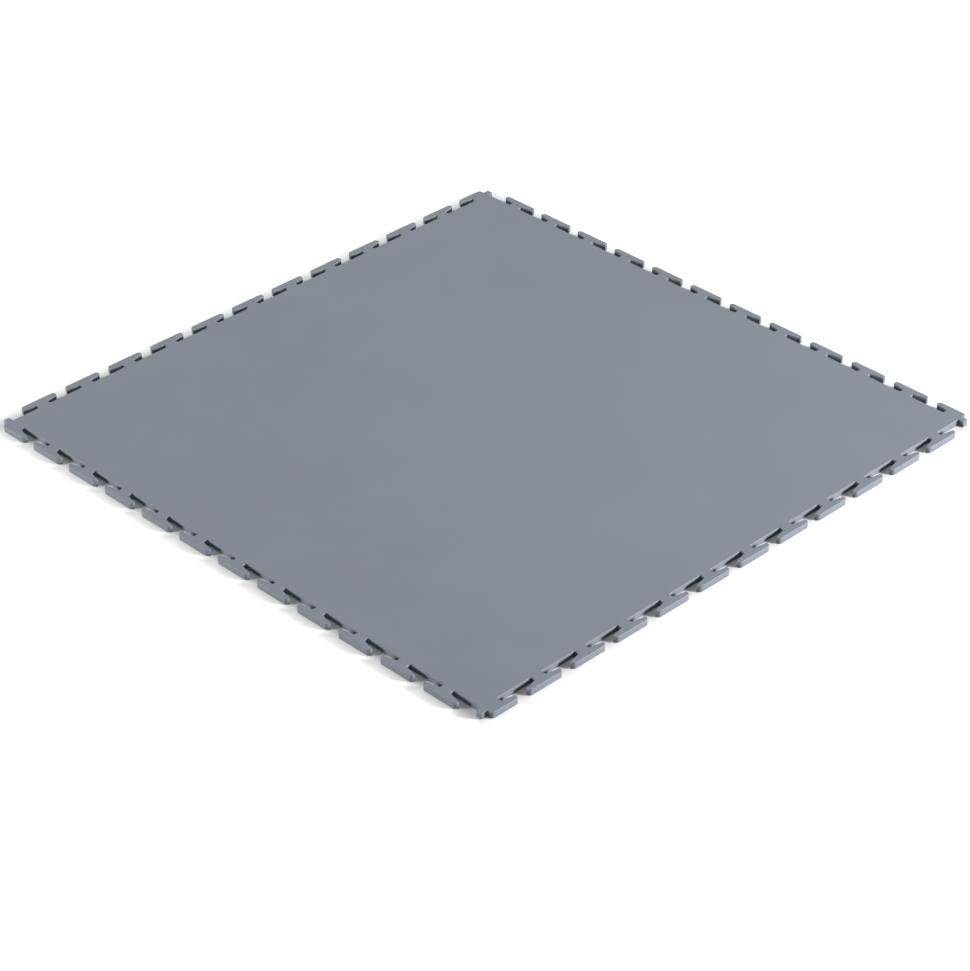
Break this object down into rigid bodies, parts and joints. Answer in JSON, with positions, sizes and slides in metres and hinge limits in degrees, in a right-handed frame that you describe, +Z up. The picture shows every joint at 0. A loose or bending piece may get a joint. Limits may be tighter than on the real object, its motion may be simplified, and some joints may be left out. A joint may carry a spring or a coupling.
{
  "type": "interlocking pvc floor tile",
  "caption": "Square solid floor tile, smooth on top, with a row of T-shaped interlocking tabs and matching notches along every side.",
  "frame": {"origin": "middle of the underside", "axes": "+Z up out of the wear face, +X and +Y along the sides"},
  "size_m": [0.5096, 0.5096, 0.005],
  "materials": {
    "grey_pvc": "satin"
  },
  "bodies": {
    "root": {"floor_tile": "grey_pvc"}
  },
  "joints": []
}
